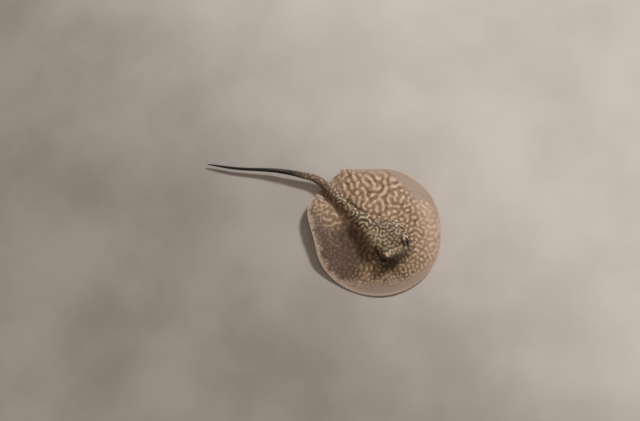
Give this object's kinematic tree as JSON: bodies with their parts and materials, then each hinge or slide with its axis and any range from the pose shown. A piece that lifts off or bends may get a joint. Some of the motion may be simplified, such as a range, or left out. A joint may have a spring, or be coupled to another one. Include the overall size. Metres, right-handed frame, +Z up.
{
  "type": "freshwater stingray",
  "caption": "Freshwater stingray, life size, lying flat: round disc with raised head and trunk, one wing edge lifted, slender tail with a sting bent to its right.",
  "frame": {"origin": "on the ground under the middle of the disc, on the flat of the belly", "axes": "the snout points to -Y and the tail to +Y, +X is the animal's left side, +Z is up"},
  "size_m": [0.3391, 0.5318, 0.0411],
  "materials": {
    "skin": "moist satin skin, brown with cream spots and worm-like lines, plain margin, cream below",
    "eye": "wet and glossy, dark pupil in a bronze iris",
    "sting": "dull horn in a dark sheath, finely ridged"
  },
  "bodies": {
    "root": {"head": "skin", "trunk": "skin", "pectoral_fin_left": "skin", "pectoral_fin_right": "skin", "pelvic_fin_left": "skin", "pelvic_fin_right": "skin", "tail_base": "skin", "tail_middle": "skin", "tail_whip": "skin", "sting": "sting", "eye_left": "eye", "eye_right": "eye"}
  },
  "joints": []
}
